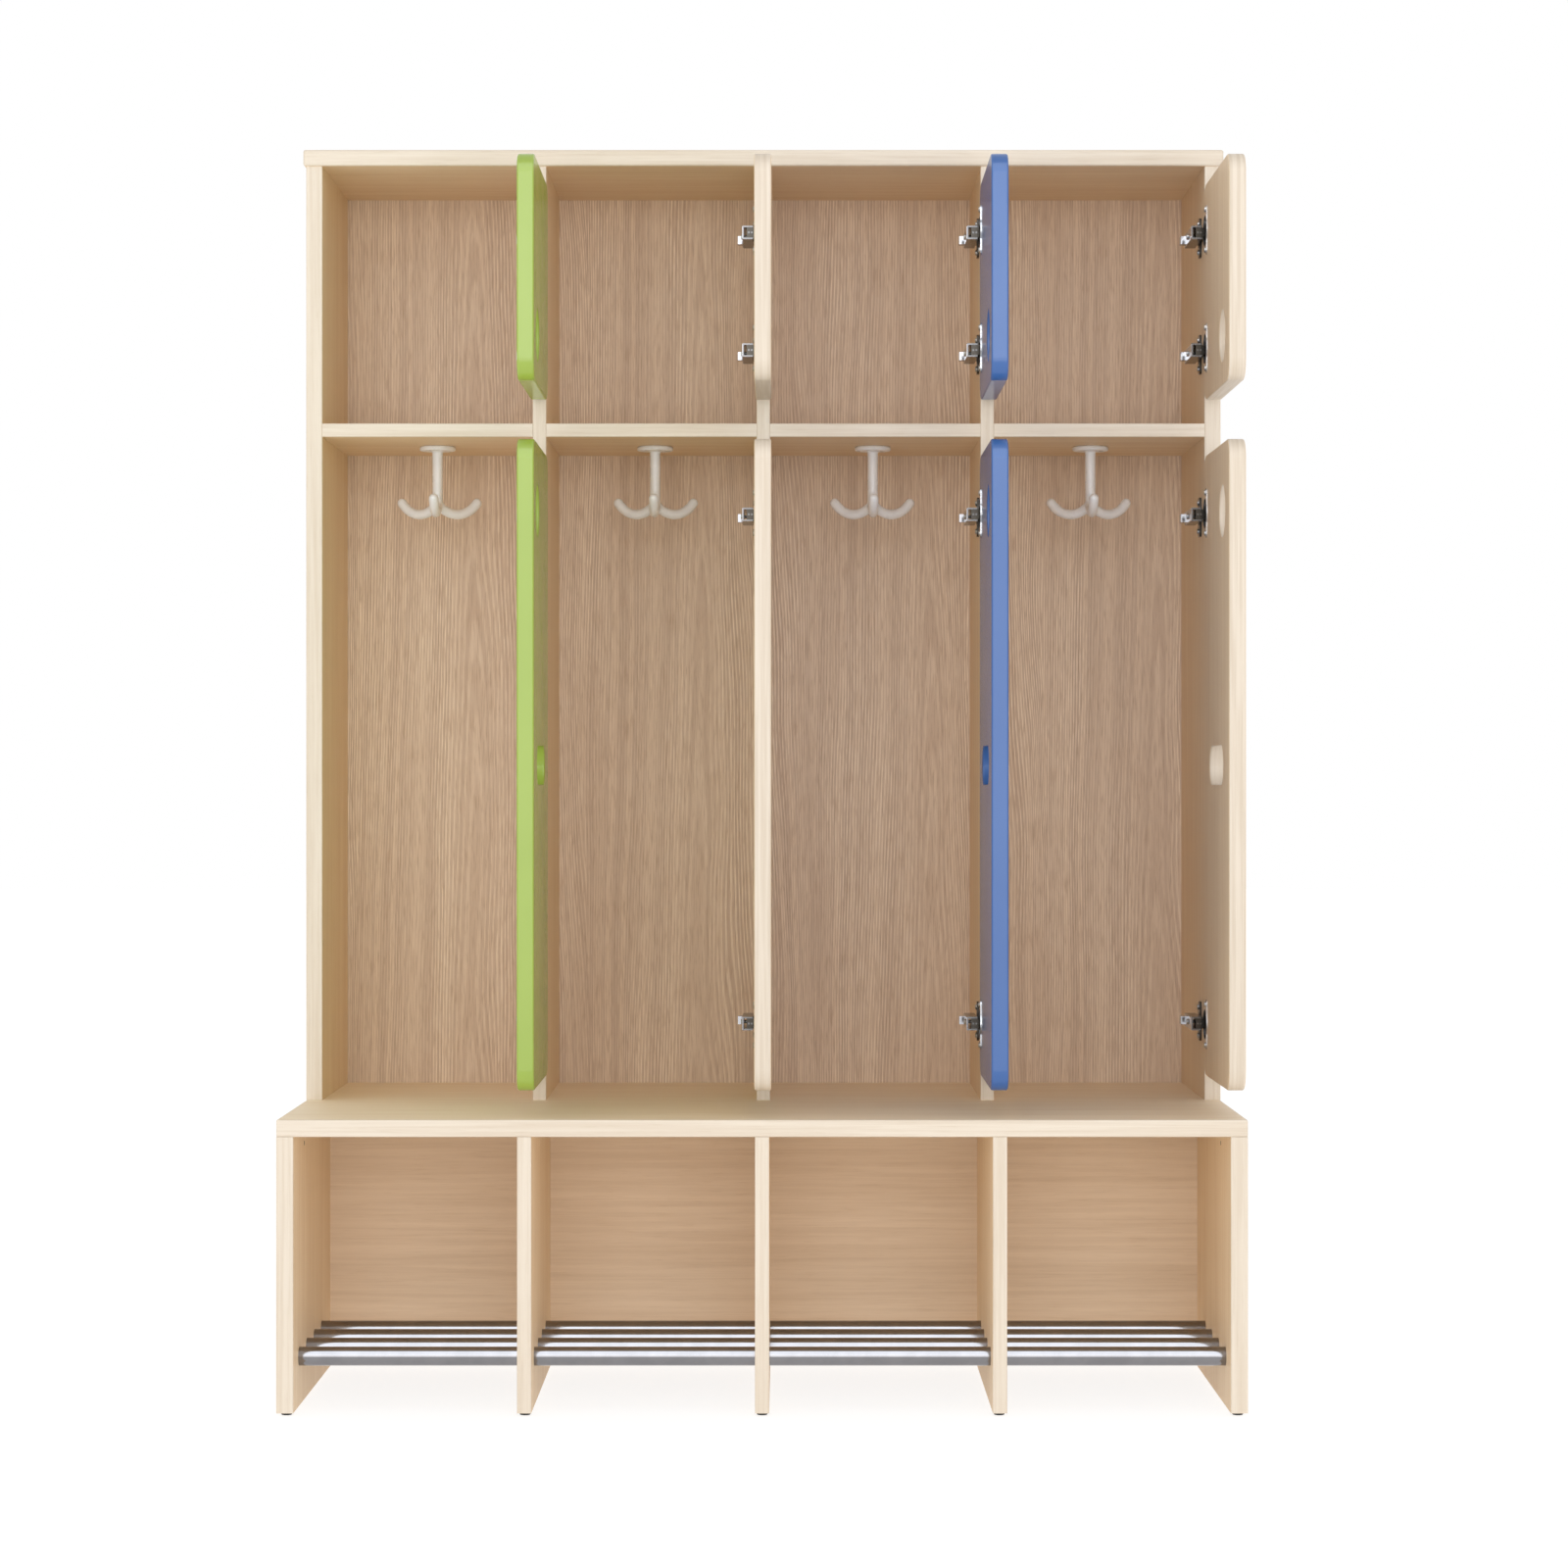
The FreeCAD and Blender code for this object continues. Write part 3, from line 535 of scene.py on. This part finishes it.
def screw_in(node, body, way, **sizes):
    """Cross-head screws in place of a CAD node's, with their crowns where the node's are."""
    crowns = []
    for low, high in solids(node):
        centre = (low + high) / 2
        crowns.append((low.x, centre.y, centre.z) if way == facing_left else (centre.x, high.y, centre.z))
    length = high.x - low.x if way == facing_left else high.y - low.y
    piece = screws.make(node + "_cross_head", crowns, Facing=way, Length=length, **sizes)
    fit(piece, body, "screw_steel", node)


dress(back_print(), "back_panel")
screw_in("back_panel_screws", "cabinet", facing_rear,
         **{"Head top radius": 0.003, "Head base radius": 0.0015, "Shank radius": 0.0014})


# Hinge plates and arms.
# Nickel-plated: a plate screwed to the upright, and a channel-shaped arm on it that reaches into the cup.
arm_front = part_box("hinge_arms")[0].y
arm_standoff = 0.0159
last_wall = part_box("right_side_panel")[0].x
wall_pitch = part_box("divider_2")[0].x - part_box("divider_1")[0].x


def arm_nickel():
    """Nickel with a painted highlight on the front ends and the outer face, and painted shade in the
    channel.
    """
    end_depth = 0.0002
    end_fade = 0.0003
    outer_fade = 0.0004
    # Painted shade: the dark colour stands in for the shade and dark reflections in the channel, and the
    # paler colour is a painted highlight.
    channel_painted_shade = (0.06, 0.053, 0.045, 1)
    painted_highlight_colour = (0.31, 0.31, 0.325, 1)
    finish = Finish("arm_nickel")
    reach = finish.node("ShaderNodeMath", {"operation": "FLOORED_MODULO"},
                        {0: last_wall - finish.axis("X"), 1: wall_pitch})
    # Painted highlight: the frontmost faces and the outer face are made bright, as if light catches them.
    painted_highlight_ends = 1 - finish.between(finish.axis("Y") - arm_front, end_depth, end_depth + end_fade)
    painted_highlight_outside = finish.between(reach, arm_standoff - outer_fade, arm_standoff)
    painted_highlight_share = finish.node("ShaderNodeClamp", None, {"Value": painted_highlight_ends * 0.35 + painted_highlight_outside})
    colour = finish.blend(painted_highlight_share, channel_painted_shade, painted_highlight_colour)
    return finish.surface(Base_Color=colour, Roughness=0.2 - painted_highlight_share * 0.06, Metallic=1.0)


nickel = clouded("nickel_plate", colour=(0.10, 0.094, 0.086), shade=(0.085, 0.08, 0.074), cloud=0.008,
                 roughness=0.16, metallic=1.0)
dress(arm_nickel(), "hinge_arms")
dress(nickel, "hinge_mounting_plates", "hinge_pins")
screw_in("hinge_plate_screws", "cabinet", facing_left)
screw_in("hinge_arm_screws", "cabinet", facing_left)


# Doors.
# Thick boards with rounded corners and edges. The first and third columns are sprayed in satin lacquer,
# the others are maple faced with strip wrapped round the rim.
def lacquer(name, colour, shade):
    """Satin coat with faint clouds and a very fine orange peel."""
    cloud_size = 0.11
    peel_size = 0.0012
    peel_depth = 0.00003
    finish = Finish(name)
    cloud = finish.noise(finish.place(), cloud_size)
    peel = finish.noise(finish.place(), peel_size, detail=2.0)
    tint = finish.blend(finish.between(cloud, 0.3, 0.7), (*colour, 1), (*shade, 1))
    return finish.surface(Base_Color=tint, Roughness=0.2 + cloud * 0.06, Specular_IOR_Level=0.5,
                          Normal=finish.relief(peel, peel_depth))


rim_pale = (0.765, 0.665, 0.545)
rim_dark = (0.60, 0.49, 0.365)


def maple_door(name, node):
    """Maple faces, and a rim whose streaks follow it all the way round."""
    skin = 0.0004
    layer_width = 0.0036
    finish = Finish(name)
    low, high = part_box(node)
    face, _, pores = foil(finish, "Z", face_pale, face_dark)
    threads = finish.noise(finish.place((1, 0.02, 0.02)), layer_width, detail=3.0, roughness=0.6)
    rim = finish.blend(finish.between(threads, 0.32, 0.68) * 0.6, (*rim_pale, 1), (*rim_dark, 1))
    depth = (finish.axis("X") - low.x).lesser(high.x - finish.axis("X"))
    colour = finish.blend(finish.between(depth, skin, skin * 2), face, rim)
    return finish.surface(Base_Color=colour, Roughness=0.5 + pores * 0.1,
                          Normal=finish.relief(1 - pores, pore_depth))


green = lacquer("green_lacquer", (0.342, 0.468, 0.072), (0.325, 0.447, 0.067))
blue = lacquer("blue_lacquer", (0.050, 0.137, 0.388), (0.046, 0.128, 0.370))
door_finishes = [green, maple_door("maple_door_2", "upper_door_2_panel"), blue,
                 maple_door("maple_door_4", "upper_door_4_panel")]
for row in ("upper", "lower"):
    for place, finish in enumerate(door_finishes, start=1):
        dress(finish, f"{row}_door_{place}_panel")


# Hinge cups.
# Pressed steel cups in bright nickel, let into the doors, each held by two screws through its flange.
bright_nickel = clouded("bright_nickel", colour=(0.62, 0.62, 0.63), shade=(0.55, 0.55, 0.56), cloud=0.01,
                        roughness=0.2, metallic=1.0)
for body in frame["bodies"]:
    if body != "cabinet":
        dress(bright_nickel, f"{body}_hinge_cups")
        screw_in(f"{body}_cup_screws", body, facing_left)


# Studio.
# White floor that keeps a soft shadow, an even white surround, one broad lamp in front and a card above it
# that only glossy surfaces see.
floor_half = 20.0
floor_mesh = bpy.data.meshes.new("floor")
floor_corners = [(-floor_half, -floor_half, 0), (floor_half, -floor_half, 0),
                 (floor_half, floor_half, 0), (-floor_half, floor_half, 0)]
floor_mesh.from_pydata(floor_corners, [], [(0, 1, 2, 3)])
floor = bpy.data.objects.new("floor", floor_mesh)
bpy.context.scene.collection.objects.link(floor)


def looked_at(wiring):
    """1 where the camera looks, straight or by way of metal or glass, and 0 for light that falls."""
    direct = wiring.node("ShaderNodeLightPath", out="Is Camera Ray")
    mirrored = wiring.node("ShaderNodeLightPath", out="Is Glossy Ray")
    through = wiring.node("ShaderNodeLightPath", out="Is Transmission Ray")
    return wiring.node("ShaderNodeClamp", None, {"Value": direct + mirrored + through})


floor_paint = Finish("floor_paint")
floor_shown = looked_at(floor_paint)
floor_tone = floor_paint.blend(floor_shown, (0.8, 0.8, 0.8, 1), (0.3, 0.3, 0.3, 1))
floor_glow = floor_paint.blend(floor_shown, (0.4, 0.4, 0.4, 1), (0.82, 0.82, 0.82, 1))
floor_paint.surface(Base_Color=floor_tone, Roughness=0.9, Specular_IOR_Level=0.0, Emission_Color=floor_glow,
                    Emission_Strength=1.0)
floor_mesh.materials.append(floor_paint.material)

surround_light = 0.82
surround = bpy.data.worlds.new("surround")
bpy.context.scene.world = surround
surround.use_nodes = True
sky = Wiring(surround.node_tree)
backdrop = sky.tree.nodes["Background"]
backdrop.inputs["Color"].default_value = (1, 1, 1, 1)
sky.feed(backdrop.inputs["Strength"], surround_light + looked_at(sky) * (1 - surround_light))


def soft_lamp(name, width, height, watts, place, tilt):
    """A broad lamp that the camera doesn't see, tilted up from pointing at the floor."""
    data = bpy.data.lights.new(name, "AREA")
    data.shape = "RECTANGLE"
    data.size = width
    data.size_y = height
    data.energy = watts
    lamp = bpy.data.objects.new(name, data)
    lamp.location = place
    lamp.rotation_euler = (math.radians(tilt), 0, 0)
    lamp.visible_camera = False
    bpy.context.scene.collection.objects.link(lamp)
    return lamp


soft_lamp("front_lamp", width=4.0, height=1.9, watts=50.0, place=(0.2, -4.9, 1.05), tilt=90)
gloss_card = soft_lamp("gloss_card", width=4.4, height=3.4, watts=125.0, place=(0, -2.9, 2.75), tilt=47)
gloss_card.data.color = (0.9, 0.95, 1.0)
gloss_card.visible_diffuse = False


# Camera.
# Straight in front, a little below the middle of the piece, with a long lens.
photo_pixels = 1600
focal_pixels = 3934
camera_data = bpy.data.cameras.new("camera")
camera_data.sensor_width = 36.0
camera_data.lens = focal_pixels / photo_pixels * camera_data.sensor_width
camera = bpy.data.objects.new("camera", camera_data)
camera.location = (0.023, -4.3, 0.6645)
camera.rotation_euler = (math.radians(90), 0, 0)
bpy.context.scene.collection.objects.link(camera)
bpy.context.scene.camera = camera
bpy.context.scene.view_settings.view_transform = "Standard"
